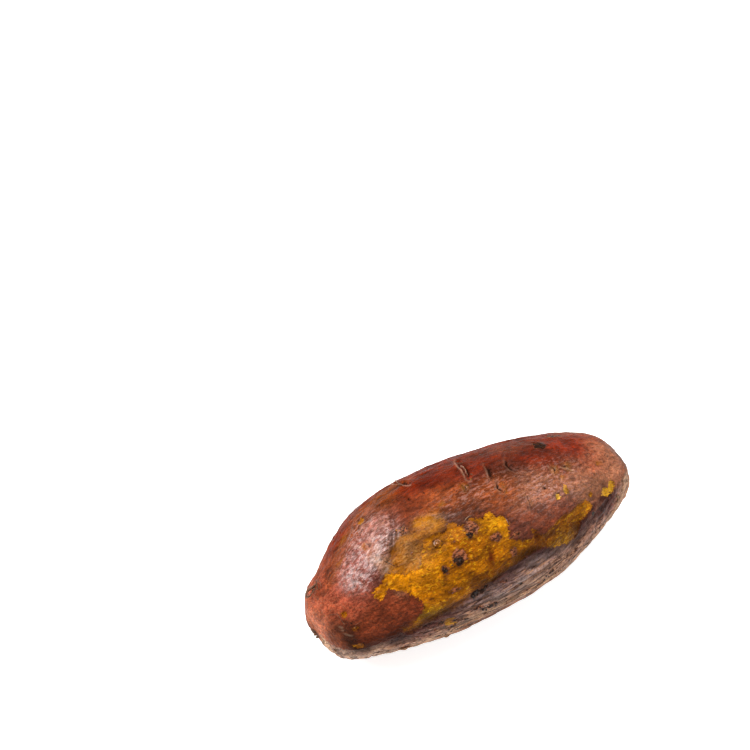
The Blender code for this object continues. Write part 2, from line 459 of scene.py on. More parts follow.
ORANGE_BROWN_IN_PAINTED_SHADE = (0.138, 0.0125, 0.0005)
CARAMEL = (0.175, 0.043, 0.005)
RUSSET = (0.180, 0.017, 0.001)
RED_BROWN = (0.180, 0.040, 0.015)
ROSE_BROWN = (0.380, 0.092, 0.022)
MAUVE = (0.350, 0.135, 0.072)
MAUVE_BROWN = (0.272, 0.113, 0.058)
PLUM = (0.190, 0.052, 0.022)
DARK_PLUM = (0.110, 0.036, 0.022)
SALMON = (0.320, 0.074, 0.033)
PALE_SALMON = (0.400, 0.145, 0.075)
# The lobe's pink and lilac skin, lightened by a painted sheen.
PINK_WITH_PAINTED_SHEEN = (0.270, 0.085, 0.068)
LILAC_WITH_PAINTED_SHEEN = (0.360, 0.145, 0.112)
BRUISE = (0.060, 0.020, 0.010)
DARK_BRUISE = (0.028, 0.010, 0.005)
SKIN_TONES = (  # place, reach along, reach around, colour
    ((-45, 25), 22, 12, ORANGE_BROWN_IN_PAINTED_SHADE), ((0, 28), 24, 12, ORANGE_BROWN_IN_PAINTED_SHADE), ((45, 32), 20, 12, ORANGE_BROWN_IN_PAINTED_SHADE),
    ((-30, 46), 14, 8, CARAMEL), ((-14, 60), 10, 8, ORANGE_BROWN_IN_PAINTED_SHADE), ((9, 68), 14, 8, ORANGE_BROWN_IN_PAINTED_SHADE),
    ((30, 80), 10, 7, (0.140, 0.012, 0.001)), ((48, 72), 10, 8, (0.225, 0.019, 0.001)),
    ((62, 98), 8, 9, PALE_SALMON), ((60, 62), 9, 8, RUSSET), ((-14, 80), 12, 7, ROSE_BROWN),
    ((6, 95), 12, 7, ROSE_BROWN), ((-24, 74), 8, 7, RED_BROWN), ((26, 105), 13, 8, MAUVE),
    ((46, 112), 10, 7, MAUVE), ((22, 128), 12, 8, PLUM), ((8, 130), 6, 6, DARK_PLUM),
    ((13, 141), 5, 4, DARK_PLUM), ((50, 133), 12, 9, MAUVE_BROWN), ((64, 140), 8, 8, MAUVE),
    ((55, 112), 7, 6, SALMON), ((36, 94), 8, 5, RUSSET), ((-35, 103), 5, 8, (0.290, 0.150, 0.066)),
    ((-23, 91), 5, 6, (0.320, 0.120, 0.006)), ((-44.5, 98), 3, 10, (0.330, 0.180, 0.100)),
    ((-40, 68), 10, 9, LILAC_WITH_PAINTED_SHEEN), ((-54, 80), 11, 10, PINK_WITH_PAINTED_SHEEN), ((-62, 92), 9, 9, (0.237, 0.057, 0.033)),
    ((-44, 46), 8, 5, CARAMEL), ((-56, 57), 7, 5, CARAMEL), ((-63, 66), 6, 4, CARAMEL),
    ((-60, 45), 8, 6, RED_BROWN), ((-72, 72), 7, 9, SALMON), ((-74, 112), 7, 9, (0.470, 0.150, 0.078)),
    ((-66, 112), 6, 7, SALMON), ((-73, 180), 7, 9, PLUM), ((-56, 146), 11, 8, RED_BROWN),
    ((-46, 143), 10, 7, RED_BROWN), ((-68, 146), 7, 7, DARK_BRUISE), ((-40, 235), 28, 12, RED_BROWN),
    ((30, 235), 28, 12, PLUM), ((0, 268), 60, 14, BRUISE), ((-40, 310), 28, 14, RED_BROWN),
    ((20, 310), 26, 14, RUSSET), ((-50, 350), 20, 12, ROSE_BROWN), ((-10, 350), 20, 12, CARAMEL),
    ((30, 350), 22, 12, RED_BROWN), ((60, 10), 12, 12, MAUVE), ((-20, 8), 22, 10, RED_BROWN),
    ((20, 8), 22, 10, RUSSET), ((-68, 0), 8, 14, SALMON),
)
FLESH_YELLOW = (0.340, 0.136, 0.0006)
FLESH_GOLD = (0.530, 0.200, 0.0006)
FLESH_TAN = (0.290, 0.125, 0.024)
FLESH_ORANGE = (0.272, 0.090, 0.0006)
FLESH_AMBER = (0.270, 0.102, 0.0006)
# dark amber flesh by the ridge, darkened further with painted shade
DEEP_FLESH_AND_SHADE = (0.050, 0.012, 0.0005)
FLESH_OLIVE = (0.225, 0.115, 0.006)
FLESH_BROWN = (0.145, 0.046, 0.0005)
FLESH_TONES = (
    ((-2, 112), 9, 8, FLESH_YELLOW), ((1, 113), 6, 6, (0.480, 0.225, 0.003)),
    ((-13, 118), 8, 8, FLESH_ORANGE), ((-43, 121), 9, 7, FLESH_GOLD), ((-31, 122), 9, 6, FLESH_GOLD),
    ((-27, 140), 9, 6, (0.320, 0.120, 0.0006)), ((-12, 134), 8, 6, FLESH_AMBER),
    ((-14, 143), 10, 5, DEEP_FLESH_AND_SHADE), ((6, 134), 8, 6, FLESH_AMBER), ((12, 145), 10, 6, DEEP_FLESH_AND_SHADE),
    ((24, 144), 7, 5, FLESH_BROWN), ((24, 154), 9, 5, FLESH_OLIVE), ((-38, 154), 9, 5, FLESH_OLIVE),
    ((40, 145), 8, 7, FLESH_AMBER), ((33, 150), 6, 5, DEEP_FLESH_AND_SHADE), ((13, 132), 3, 4, FLESH_YELLOW),
    ((28, 144), 7, 5, FLESH_BROWN), ((-22, 90), 7, 7, FLESH_YELLOW), ((-34, 104), 6, 8, FLESH_TAN),
    ((-25, 112), 6, 6, FLESH_AMBER), ((-31, 170), 4, 4, (0.450, 0.230, 0.030)),
    ((55, 149), 7, 5, (0.520, 0.270, 0.020)), ((34, 121), 5, 5, (0.620, 0.360, 0.050)),
    ((40, 100), 9, 6, FLESH_TAN), ((0, 80), 30, 8, FLESH_OLIVE), ((0, 270), 60, 60, FLESH_ORANGE),
)
# From the ridge down to the table: mm below the ridge, and the colour there. The dark stops under the ridge
# are painted shade, and the pale stop at 14 mm is partly painted light thrown up by the table.
BAND_TONES = (
    (0, (0.045, 0.007, 0.004)), (2.5, (0.044, 0.009, 0.006)), (5, (0.130, 0.048, 0.036)),
    (8, (0.260, 0.120, 0.082)), (14, (0.440, 0.260, 0.155)), (22, (0.290, 0.120, 0.060)),
    (30, (0.150, 0.040, 0.018)),
)
# Patches of other tones on that band: place, reach along, reach around, colour. The first is grey-mauve skin
# with a painted sheen, the second a pale edge, partly painted light from the table, and the third painted
# shade along the ridge.
BAND_PATCHES = (
    ((0, 163), 26, 6, (0.250, 0.196, 0.186)), ((-62, 193), 14, 5, (0.700, 0.470, 0.330)),
    ((-41, 163.5), 9, 2.2, (0.036, 0.006, 0.004)), ((23, 171), 14, 5, (0.520, 0.275, 0.165)),
)
JUICE_STAINS = (((-8, 134), 1.7, 3.2), ((14, 138), 1.4, 2.6))  # place, reach along, reach around

# Each tone spreads from its own place and meets its neighbours along wavy edges.
drift = 2.5 * np.stack([lumps(8, 1.6, seed=seed) for seed in (20, 21, 22)], -1)

def spread_tones(tones):
    weights = np.stack([near(p, a, b, shift=drift) + 1e-5 for p, a, b, _ in tones], -1) ** 1.8
    return weights @ np.array([colour for *_, colour in tones]) / weights.sum(1, keepdims=True)

def keep_colour(piece, name, colours):
    with_alpha = np.c_[colours, np.ones(len(colours))].astype(np.float32)
    stored_colours = piece.data.attributes.new(name, "FLOAT_COLOR", "POINT")
    stored_colours.data.foreach_set("color", with_alpha.ravel())

stops = np.array([stop for stop, _ in BAND_TONES])
down = below + 1.8 * lumps(5, 4, seed=23) + 0.8 * lumps(2, 6, seed=24)
band_colour = np.stack([np.interp(down, stops, shades) for shades in zip(*(c for _, c in BAND_TONES))], -1)
for place, reach_along, reach_around, colour in BAND_PATCHES:
    patch = near(place, reach_along, reach_around, shift=drift)[:, None]
    band_colour += (np.array(colour) - band_colour) * 0.75 * patch

# Painted shade darkens the skin in the crease and towards the ridge; below the ridge the skin takes the
# band's colours.
skin_tone = spread_tones(SKIN_TONES) * (1 - 0.35 * crease[:, None])
on_front = soft_step(around, 112, 135) * soft_step(-around, -225, -200)
painted_ridge_shade = on_front * soft_step(-along, 36, 42) * soft_step(below + 0.8 * drift[:, 0], -7, 0)
skin_tone *= 1 - 0.6 * painted_ridge_shade[:, None]
under_patch = bell(bare, 4.5) * soft_step(below, -5, -2) * soft_step(along, -46, -38)
under_patch = under_patch * soft_step(around, 135, 142)
in_band = np.maximum(soft_step(band, 0.2, 0.8), under_patch)
skin_tone += (band_colour - skin_tone) * in_band[:, None]
keep_colour(root, "skin_tone", skin_tone)

# Painted shade darkens the flesh towards the ridge, and dark juice stains it in two spots.
flesh_tone = spread_tones(FLESH_TONES)
painted_flesh_shade = soft_step(along, -22, -10) * soft_step(-along, -20, -13)
painted_flesh_shade = painted_flesh_shade * soft_step(below + 0.8 * drift[:, 1], -5.5, 0)
flesh_tone *= 1 - 0.65 * (on_front * painted_flesh_shade)[:, None]
for place, reach_along, reach_around in JUICE_STAINS:
    stain = near(place, reach_along, reach_around, slant=15)[:, None]
    flesh_tone *= 1 - stain * (0.75, 0.92, 0.92)
keep_colour(root, "flesh_tone", flesh_tone)

def feed(tree, socket, value):
    if isinstance(value, bpy.types.NodeSocket):
        tree.links.new(value, socket)
    elif hasattr(socket.default_value, "__len__") and len(value) == 3 and len(socket.default_value) == 4:
        socket.default_value = (*value, 1.0)
    else:
        socket.default_value = value

def stored(tree, name, output="Fac"):
    reader = tree.nodes.new("ShaderNodeAttribute")
    reader.attribute_name = name
    return reader.outputs[output]

def sum_of(tree, *terms, operation="ADD"):
    """The terms added up, or joined by another operation from left to right."""
    total = terms[0]
    for term in terms[1:]:
        made = tree.nodes.new("ShaderNodeMath")
        made.operation = operation
        feed(tree, made.inputs[0], total)
        feed(tree, made.inputs[1], term)
        total = made.outputs[0]
    return total

def product_of(tree, *terms):
    return sum_of(tree, *terms, operation="MULTIPLY")

def ranged(tree, value, low, high, to_low=0.0, to_high=1.0):
    """A smooth step of the value, from to_low at low to to_high at high."""
    made = tree.nodes.new("ShaderNodeMapRange")
    made.interpolation_type = "SMOOTHSTEP"
    feed(tree, made.inputs["Value"], value)
    for name, number in (("From Min", low), ("From Max", high), ("To Min", to_low), ("To Max", to_high)):
        made.inputs[name].default_value = number
    return made.outputs["Result"]

def mixed(tree, share, under, over):
    made = tree.nodes.new("ShaderNodeMix")
    made.data_type = "RGBA"
    feed(tree, made.inputs[0], share)
    feed(tree, made.inputs[6], under)
    feed(tree, made.inputs[7], over)
    return made.outputs[2]

def laid_over(tree, colour, *layers):
    """The colour with each layer's own colour over it in turn, as strong as its share."""
    for share, over in layers:
        colour = mixed(tree, share, colour, over)
    return colour

def brightened(tree, colour, value):
    made = tree.nodes.new("ShaderNodeHueSaturation")
    feed(tree, made.inputs["Color"], colour)
    feed(tree, made.inputs["Value"], value)
    return made.outputs["Color"]

def channel_of(tree, colour, channel):
    parted = tree.nodes.new("ShaderNodeSeparateColor")
    feed(tree, parted.inputs["Color"], colour)
    return parted.outputs[channel]

def dent(tree, shader, height, depth):
    """Dents and raises the shading by a height from 0 to 1, this many mm deep."""
    bump = tree.nodes.new("ShaderNodeBump")
    bump.inputs["Distance"].default_value = depth / MM
    feed(tree, bump.inputs["Height"], height)
    feed(tree, shader.inputs["Normal"], bump.outputs["Normal"])

def new_material(name):
    material = bpy.data.materials.new(name)
    material.use_nodes = True
    return material, material.node_tree, material.node_tree.nodes["Principled BSDF"]

def grown_grain():
    """The shared grain of everything that grew on the root: soft lumps, drawn out along it."""
    group = bpy.data.node_groups.new("grown_grain", "ShaderNodeTree")
    for name, start in (("Lump Size mm", 1.0), ("Stretch", 1.0), ("Fineness", 3.0), ("Sharpness", 0.55)):
        group.interface.new_socket(name, in_out="INPUT", socket_type="NodeSocketFloat").default_value = start
    group.interface.new_socket("Grain", in_out="OUTPUT", socket_type="NodeSocketFloat")
    given = group.nodes.new("NodeGroupInput").outputs
    shrunk = group.nodes.new("ShaderNodeCombineXYZ")
    feed(group, shrunk.inputs["X"], sum_of(group, 1.0, given["Stretch"], operation="DIVIDE"))
    feed(group, shrunk.inputs["Y"], 1.0)
    feed(group, shrunk.inputs["Z"], 1.0)
    mapping = group.nodes.new("ShaderNodeMapping")
    feed(group, mapping.inputs["Scale"], shrunk.outputs["Vector"])
    feed(group, mapping.inputs["Vector"], group.nodes.new("ShaderNodeTexCoord").outputs["Object"])
    lumpy = group.nodes.new("ShaderNodeTexNoise")
    feed(group, lumpy.inputs["Vector"], mapping.outputs["Vector"])
    feed(group, lumpy.inputs["Scale"], sum_of(group, MM, given["Lump Size mm"], operation="DIVIDE"))
    feed(group, lumpy.inputs["Detail"], given["Fineness"])
    feed(group, lumpy.inputs["Roughness"], given["Sharpness"])
    feed(group, group.nodes.new("NodeGroupOutput").inputs["Grain"], lumpy.outputs["Fac"])
    return group

grain_group = grown_grain()

def speckle(tree, stretch, size, fineness, sharpness):
    """The shared grain, with lumps this many mm across and this many times as long along the root."""
    placed_group = tree.nodes.new("ShaderNodeGroup")
    placed_group.node_tree = grain_group
    for socket, number in zip(placed_group.inputs, (size, stretch, fineness, sharpness)):
        socket.default_value = number
    return placed_group.outputs["Grain"]

def thin_lines(tree, stretch, size, width):
    """1 along winding lines about this many mm apart, and 0 between them."""
    centred = sum_of(tree, speckle(tree, stretch, size, 2, 0.5), -0.5)
    return ranged(tree, sum_of(tree, centred, 0.0, operation="ABSOLUTE"), 0.0, width, 1.0, 0.0)

FLESH_SHADE = (0.070, 0.018, 0.0015)
FLESH_GLINT = (0.66, 0.38, 0.016)
SCAB_BROWN = (0.215, 0.076, 0.034)
SCAB_PINK = (0.34, 0.17, 0.13)
SLIT_BROWN = (0.026, 0.009, 0.004)
BURNT_BLACK = (0.007, 0.005, 0.003)
TORN_PALE = (0.58, 0.30, 0.17)
# pale dry membrane, and painted sheen
PALE_MEMBRANE_AND_SHEEN = (0.62, 0.36, 0.31)
# the colour of dark specks, lines, cracks and pits, and of the painted shade in the wrinkles' valleys
DARK_MARKS_AND_SHADE = (0.032, 0.009, 0.004)
LIP_CREAM = (0.70, 0.48, 0.33)

skin, tree, shader = new_material("baked_skin_and_flesh")
plain, lengthwise, fibres, threads, furrows = 1.0, 1.7, 4.0, 7.0, 9.0  # how far each grain is drawn out
fine = speckle(tree, plain, 0.9, 2, 0.6)
pits = speckle(tree, plain, 2.2, 3, 0.6)
grain = speckle(tree, fibres, 1.7, 3, 0.6)
weave = speckle(tree, lengthwise, 1.0, 2, 0.7)
blotches = speckle(tree, lengthwise, 6, 4, 0.6)
cracks = thin_lines(tree, fibres, 3.4, 0.02)

skin_light = product_of(
    tree, ranged(tree, grain, 0.38, 0.62, 0.80, 1.22), ranged(tree, weave, 0.38, 0.62, 0.80, 1.24),
    ranged(tree, blotches, 0.36, 0.64, 0.80, 1.20),
)
skin_colour = brightened(tree, stored(tree, "skin_tone", "Color"), skin_light)
how_dry = channel_of(tree, stored(tree, "skin_tone", "Color"), "Green")
pale_specks = product_of(
    tree, ranged(tree, fine, 0.54, 0.60, 0.0, 0.34), ranged(tree, blotches, 0.36, 0.56, 0.3, 1.0),
    ranged(tree, how_dry, 0.020, 0.115, 0.03, 1.0),
)
dark_lines = product_of(tree, stored(tree, "furrowed"), thin_lines(tree, furrows, 2.4, 0.05), 0.95)
cream_lines = product_of(
    tree, stored(tree, "furrowed"), ranged(tree, speckle(tree, threads, 1.1, 3, 0.7), 0.53, 0.60, 0.0, 0.6),
    ranged(tree, how_dry, 0.03, 0.16),
)
# Pale strokes where the skin is glossy: partly dry membrane, partly painted sheen.
strokes = speckle(tree, 3.2, 1.0, 3, 0.75)
membrane_and_sheen_strokes = product_of(tree, stored(tree, "gloss_and_painted_sheen"), ranged(tree, strokes, 0.51, 0.58, 0.0, 0.8))
skin_colour = laid_over(
    tree, skin_colour,
    (pale_specks, TORN_PALE),
    (ranged(tree, fine, 0.44, 0.38, 0.0, 0.24), DARK_MARKS_AND_SHADE),
    (dark_lines, DARK_MARKS_AND_SHADE),
    (cream_lines, TORN_PALE),
    (membrane_and_sheen_strokes, PALE_MEMBRANE_AND_SHEEN),
    (product_of(tree, cracks, 0.35), DARK_MARKS_AND_SHADE),
    (ranged(tree, pits, 0.35, 0.27, 0.0, 0.8), DARK_MARKS_AND_SHADE),
    # painted shade in the wrinkles' valleys and along the ridge
    (ranged(tree, stored(tree, "painted_valley_shade"), 0.50, 1.0, 0.0, 0.5), DARK_MARKS_AND_SHADE),
    (product_of(tree, stored(tree, "lip"), 0.9), LIP_CREAM),
)

flesh_lumps = speckle(tree, lengthwise, 4.0, 3, 0.6)
flesh_light = product_of(
    tree, ranged(tree, flesh_lumps, 0.36, 0.64, 0.76, 1.26), ranged(tree, fine, 0.36, 0.64, 0.84, 1.18),
    ranged(tree, blotches, 0.38, 0.62, 0.76, 1.26),
)
flesh_colour = brightened(tree, stored(tree, "flesh_tone", "Color"), flesh_light)
how_bright = channel_of(tree, stored(tree, "flesh_tone", "Color"), "Red")
glints = product_of(
    tree, ranged(tree, weave, 0.56, 0.62, 0.0, 0.42), ranged(tree, flesh_lumps, 0.42, 0.6),
    ranged(tree, how_bright, 0.06, 0.28, 0.15, 1.0),
)
strings = product_of(
    tree, thin_lines(tree, threads, 2.6, 0.03), ranged(tree, how_bright, 0.10, 0.40, 0.65, 0.20),
)
flesh_colour = laid_over(
    tree, flesh_colour,
    (glints, FLESH_GLINT),
    (ranged(tree, grain, 0.57, 0.68, 0.0, 0.65), FLESH_SHADE),
    (ranged(tree, pits, 0.40, 0.30, 0.0, 0.6), FLESH_SHADE),
    (strings, FLESH_SHADE),
)

# What lies over what, from the skin up: thin skin, flesh, scorched rims, scabs, burnt sugar and slits.
edge_noise = ranged(tree, fine, 0.25, 0.75, -0.5, 0.5)
bare_edge = sum_of(tree, stored(tree, "bare"), edge_noise)
is_bare = ranged(tree, bare_edge, -0.2, 0.2)
scab_edge = sum_of(tree, stored(tree, "scab"), edge_noise)
is_scab = ranged(tree, scab_edge, -0.2, 0.3)
see_through = ranged(tree, sum_of(tree, stored(tree, "thin"), edge_noise), -1.5, 1.5, 0.0, 0.9)
near_bare = product_of(
    tree, ranged(tree, bare_edge, -1.4, 0.0, 0.0, 0.35), ranged(tree, see_through, 0.3, 0.0),
)
dulled_flesh = mixed(tree, ranged(tree, weave, 0.4, 0.62, 0.1, 0.55), flesh_colour, skin_colour)
scorched_rim = product_of(tree, ranged(tree, scab_edge, -1.0, 0.0, 0.0, 0.6), is_bare)
scab_colour = brightened(tree, SCAB_BROWN, ranged(tree, weave, 0.38, 0.62, 0.30, 1.5))
scab_colour = mixed(tree, ranged(tree, fine, 0.56, 0.68, 0.0, 0.8), scab_colour, SCAB_PINK)
is_burnt = ranged(tree, sum_of(tree, stored(tree, "burnt"), edge_noise), 0.2, 0.7, 0.0, 0.9)
slit_edge = sum_of(tree, stored(tree, "slit"), product_of(tree, edge_noise, 0.5))
in_slit = ranged(tree, slit_edge, 0.25, 0.75, 0.0, 0.9)
colour = laid_over(
    tree, skin_colour,
    (see_through, dulled_flesh),
    (near_bare, FLESH_SHADE),
    (is_bare, flesh_colour),
    (scorched_rim, FLESH_SHADE),
    (is_scab, scab_colour),
    (is_burnt, BURNT_BLACK),
    (in_slit, SLIT_BROWN),
)
feed(tree, shader.inputs["Base Color"], colour)

roughness = sum_of(
    tree, ranged(tree, weave, 0.3, 0.7, 0.42, 0.62), product_of(tree, stored(tree, "gloss_and_painted_sheen"), -0.12),
    product_of(tree, is_bare, -0.08),
)
feed(tree, shader.inputs["Roughness"], roughness)
feed(tree, shader.inputs["Coat Weight"], stored(tree, "gloss_and_painted_sheen"))
for name, number in (
    ("Specular IOR Level", 0.07), ("Coat Roughness", 0.27), ("Subsurface Weight", 0.06),
    ("Subsurface Radius", (1.0, 0.35, 0.12)), ("Subsurface Scale", 0.0015),
):
    shader.inputs[name].default_value = number

relief = sum_of(
    tree, product_of(tree, grain, 0.35), product_of(tree, weave, 0.9), product_of(tree, fine, 0.5),
    product_of(tree, cracks, -0.08),
)
dent(tree, shader, relief, 1.0)
root.data.materials.clear()
root.data.materials.append(skin)

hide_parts("sweet_potato")
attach(root, "root")

# ---- Loose flakes of skin ---------------------------------------------------------------------------
# Where the skin split it dried, and its torn edges curled up. Each is a thin leaf of the same skin, still
# held to the root along one edge.

root_surface = BVHTree.FromPolygons(points.tolist(), [face.vertices[:] for face in root.data.polygons])
FLAKE_THICKNESS = 0.22
FLAKE_ROWS = 9
FLAKE_COLUMNS = 6

def closed_piece(name, corners, faces, material):
    """A smooth closed piece from corners in mm, its faces turned outwards, which rides on the root."""
    mesh = bpy.data.meshes.new(name)
    mesh.from_pydata([tuple(corner / MM) for corner in corners], [], faces)
    shape = bmesh.new()
    shape.from_mesh(mesh)
    bmesh.ops.recalc_face_normals(shape, faces=shape.faces)
    shape.to_mesh(mesh)
    shape.free()
    mesh.materials.append(material)
    mesh.shade_smooth()
    piece = bpy.data.objects.new(name, mesh)
    bpy.context.collection.objects.link(piece)
    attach(piece, "root")
    return piece

def on_root(spot):
    """The nearest point of the finished surface, and the direction out of it."""
    surface, direction, *_ = root_surface.find_nearest(spot)
    return np.array(surface), np.array(direction)

# Name, place, turn of its held edge from the root's length, length, width, lift of the free edge.
FLAKES = (
    ("flake_back_left", (-18.8, 44), 82, 8.0, 3.0, 2.2), ("flake_slit_rim", (4.4, 64), 80, 9.0, 1.5, 1.2),
    ("flake_lower_left", (-49, 192), 5, 4.6, 2.8, 1.5), ("flake_low_front", (-31, 196), 170, 3.0, 1.6, 0.9),
    ("flake_lobe_edge", (-43.5, 99), -60, 7.0, 1.6, 0.6), ("flake_patch_top", (-8, 103), 10, 4.5, 1.4, 0.6),
    ("flake_patch_right", (5.5, 118), 85, 5.0, 1.3, 0.7), ("flake_tip_split", (59, 170), 80, 5.0, 1.3, 0.7),
    ("flake_back", (20, 322), 10, 7.0, 2.4, 1.3), ("flake_underside", (-30, 243), 170, 6.0, 2.0, 0.8),
)
for number, (name, place, turn, length, width, lift) in enumerate(FLAKES):
    spot, _, lengthwise, crosswise = frame_at(place, turn)
    upper, lower = [], []
    for row in range(FLAKE_ROWS):
        share = row / (FLAKE_ROWS - 1)
        fullness = math.sin(math.pi * (0.06 + 0.88 * share)) ** 0.7
        torn = 1 + 0.35 * noise.noise((3.1 * share + number, 5.7 * number, 0.5))
        for column in range(FLAKE_COLUMNS):
            reach = column / (FLAKE_COLUMNS - 1)
            flat = spot + lengthwise * (share - 0.5) * length
            flat = flat + crosswise * (reach - 0.3) * width * fullness * torn
            surface, outward_here = on_root(flat)
            rise = lift * fullness * reach ** 1.7
            curl = -crosswise * width * 0.22 * reach ** 3
            upper.append(surface + outward_here * (rise + 0.12 - 0.30 * (1 - reach)) + curl)
            lower.append(upper[-1] - outward_here * FLAKE_THICKNESS * (1 - 0.5 * reach))
    faces = []
    for row in range(FLAKE_ROWS - 1):
        for column in range(FLAKE_COLUMNS - 1):
            a = row * FLAKE_COLUMNS + column
            cell = (a, a + 1, a + FLAKE_COLUMNS + 1, a + FLAKE_COLUMNS)
            faces.append(cell)
            faces.append(tuple(corner + len(upper) for corner in cell[::-1]))
    last = (FLAKE_ROWS - 1) * FLAKE_COLUMNS
    rim = [*range(FLAKE_COLUMNS)]
    rim += [row * FLAKE_COLUMNS + FLAKE_COLUMNS - 1 for row in range(1, FLAKE_ROWS)]
    rim += [last + column for column in range(FLAKE_COLUMNS - 2, -1, -1)]
    rim += [row * FLAKE_COLUMNS for row in range(FLAKE_ROWS - 2, 0, -1)]
    faces += [(a, a + len(upper), b + len(upper), b) for a, b in zip(rim, rim[1:] + rim[:1])]
    flake = closed_piece(name, np.array(upper + lower), faces, skin)
    swap_mesh(flake, rounded(flake, 1))
    flake.data.shade_smooth()
    here = mesh_points(flake.data)
    nearest = [np.argmin(((points - corner) ** 2).sum(1)) for corner in here]
    lifted = np.array([(corner - points[at]) @ outward[at] for corner, at in zip(here, nearest)])
    for value_name, value in (
        ("furrowed", 0), ("bare", -9), ("thin", -9), ("scab", -9), ("burnt", 0), ("slit", 0),
        ("painted_valley_shade", 0.3), ("gloss_and_painted_sheen", 0.25),
    ):
        keep(flake, value_name, np.full(len(here), float(value)))
    keep(flake, "lip", np.clip(lifted / lift - 0.25, 0, 1))
    keep_colour(flake, "skin_tone", skin_tone[nearest] * 0.8)
    keep_colour(flake, "flesh_tone", np.tile(FLESH_AMBER, (len(here), 1)))

# ---- Rootlets and the stem scar ---------------------------------------------------------------------
# Hair-thin side roots dried and curled as it baked, and a ragged stub of woody fibres is left where the
# root was broken from its vine.

ROOTLET_BROWN = (0.070, 0.026, 0.012)
ROOTLET_TAN = (0.240, 0.120, 0.060)

def grained(name, grain, dark, light, steps, smoothest, roughest, depth):
    """A material with one grain, which mixes its two colours and gives its roughness and its dents."""
    material, tree, shader = new_material(name)
    lumpy = speckle(tree, *grain)
    feed(tree, shader.inputs["Base Color"], mixed(tree, ranged(tree, lumpy, *steps), dark, light))
    feed(tree, shader.inputs["Roughness"], ranged(tree, lumpy, 0.3, 0.7, smoothest, roughest))
    dent(tree, shader, lumpy, depth)
    return material, tree, shader, lumpy

STRANDS = (2.0, 0.6, 3, 0.7)
dry_root, *_ = grained("dry_rootlet", STRANDS, ROOTLET_BROWN, ROOTLET_TAN, (0.42, 0.66), 0.55, 0.85, 0.3)

def tapered_tube(path, radii, sides=7):
    """Corners and faces of a closed tube along a path, in mm."""
    path = np.array(path)
    forward = np.gradient(path, axis=0)
    forward /= np.linalg.norm(forward, axis=1)[:, None]
    side = np.cross(forward[0], (0.31, 0.52, 0.79))
    corners = []
    for spot, ahead, radius in zip(path, forward, radii):
        side = side - (side @ ahead) * ahead
        side /= np.linalg.norm(side)
        up = np.cross(ahead, side)
        for turn in np.arange(sides) * 2 * math.pi / sides:
            corners.append(spot + radius * (math.cos(turn) * side + math.sin(turn) * up))
    faces = [tuple(range(sides))[::-1], tuple(range(len(corners) - sides, len(corners)))]
    for ring in range(len(path) - 1):
        for at in range(sides):
            a, b = ring * sides + at, ring * sides + (at + 1) % sides
            faces.append((a, b, b + sides, a + sides))
    return np.array(corners), faces

ROOTLET_STEPS = 22
LOWEST_ROOTLET = 0.4  # above the table
# Name, place, heading from the root's length, length, thickness, loops it curls through, lift.
ROOTLETS = (
    ("rootlet_stem_end", (-67, 44), 140, 17.0, 0.95, 1.2, 3.4),
    ("rootlet_stem_end_fine", (-69, 52), 40, 9.0, 0.45, -0.9, 2.4),
    ("rootlet_slit", (5.0, 52), 200, 8.0, 0.30, 0.8, 1.4),
    ("rootlet_bruise", (-68, 139), 95, 10.0, 0.24, 0.25, 0.5),
    ("rootlet_bruise_fine", (-66, 146), 60, 6.0, 0.20, -0.3, 0.5),
    ("rootlet_tip", (72, 80), 20, 8.0, 0.36, 1.1, 1.6),
    ("rootlet_back_left", (-38, 352), 250, 9.0, 0.32, -1.0, 1.6),
    ("rootlet_back_right", (26, 15), 300, 11.0, 0.34, 1.2, 1.8),
    ("rootlet_under_left", (-55, 235), 30, 8.0, 0.28, 0.6, 0.4),
    ("rootlet_low_front", (-13, 172), 15, 5.0, 0.24, 0.5, 0.5),
)
for number, (name, place, heading, length, thickness, loops, lift) in enumerate(ROOTLETS):
    spot, out, lengthwise, crosswise = frame_at(place, heading)
    path, here, turn = [], spot - 0.6 * out, 0.0
    for step in range(ROOTLET_STEPS):
        share = step / (ROOTLET_STEPS - 1)
        path.append(here)
        wobble = 0.35 * noise.noise((share * 6, number * 3.7, 0.2))
        turn += 2 * math.pi * loops / ROOTLET_STEPS * (0.4 + 1.2 * share) + wobble
        ahead = math.cos(turn) * lengthwise + math.sin(turn) * crosswise
        surface, outward_here = on_root(here + ahead * length / ROOTLET_STEPS)
        arch = math.sin(math.pi * min(1, 1.15 * share)) ** 2
        rise = min(-0.2 + 6 * share, 1.0) * thickness * 0.6 + lift * arch
        here = surface + outward_here * rise
    path = np.array(path)
    path[:, 2] = np.maximum(path[:, 2], LOWEST_ROOTLET)
    radii = thickness / 2 * (1.25 - 0.95 * np.arange(ROOTLET_STEPS) / (ROOTLET_STEPS - 1))
    closed_piece(name, *tapered_tube(path, radii), dry_root)

# The stub stands in the scar: short fibres side by side, broken off at different lengths.
STUB_MIDDLE = np.array((-73.0, 1.0, 19.0))
STUB_FIBRES = 9
STUB_RADIUS = 1.5
FIBRE_ROOT = 1.2  # sunk in the scar
for number in range(STUB_FIBRES):
    spread = STUB_RADIUS if number else 0.0
    turn = 2 * math.pi * number / (STUB_FIBRES - 1)
    foot = STUB_MIDDLE + (0, spread * math.cos(turn), spread * math.sin(turn))
    surface, _ = on_root(foot - (4, 0, 0))
    reach = 0.7 + 0.6 * noise.noise((number * 1.9, 0.3, 4.1))
    leaning = (foot - STUB_MIDDLE) * 0.12
    path = [
        surface + (FIBRE_ROOT - (FIBRE_ROOT + reach) * share, 0, 0) + leaning * share
        for share in np.linspace(0, 1, 5)
    ]
    closed_piece(f"stem_fibre_{number}", *tapered_tube(path, (0.75, 0.72, 0.66, 0.55, 0.25)), dry_root)

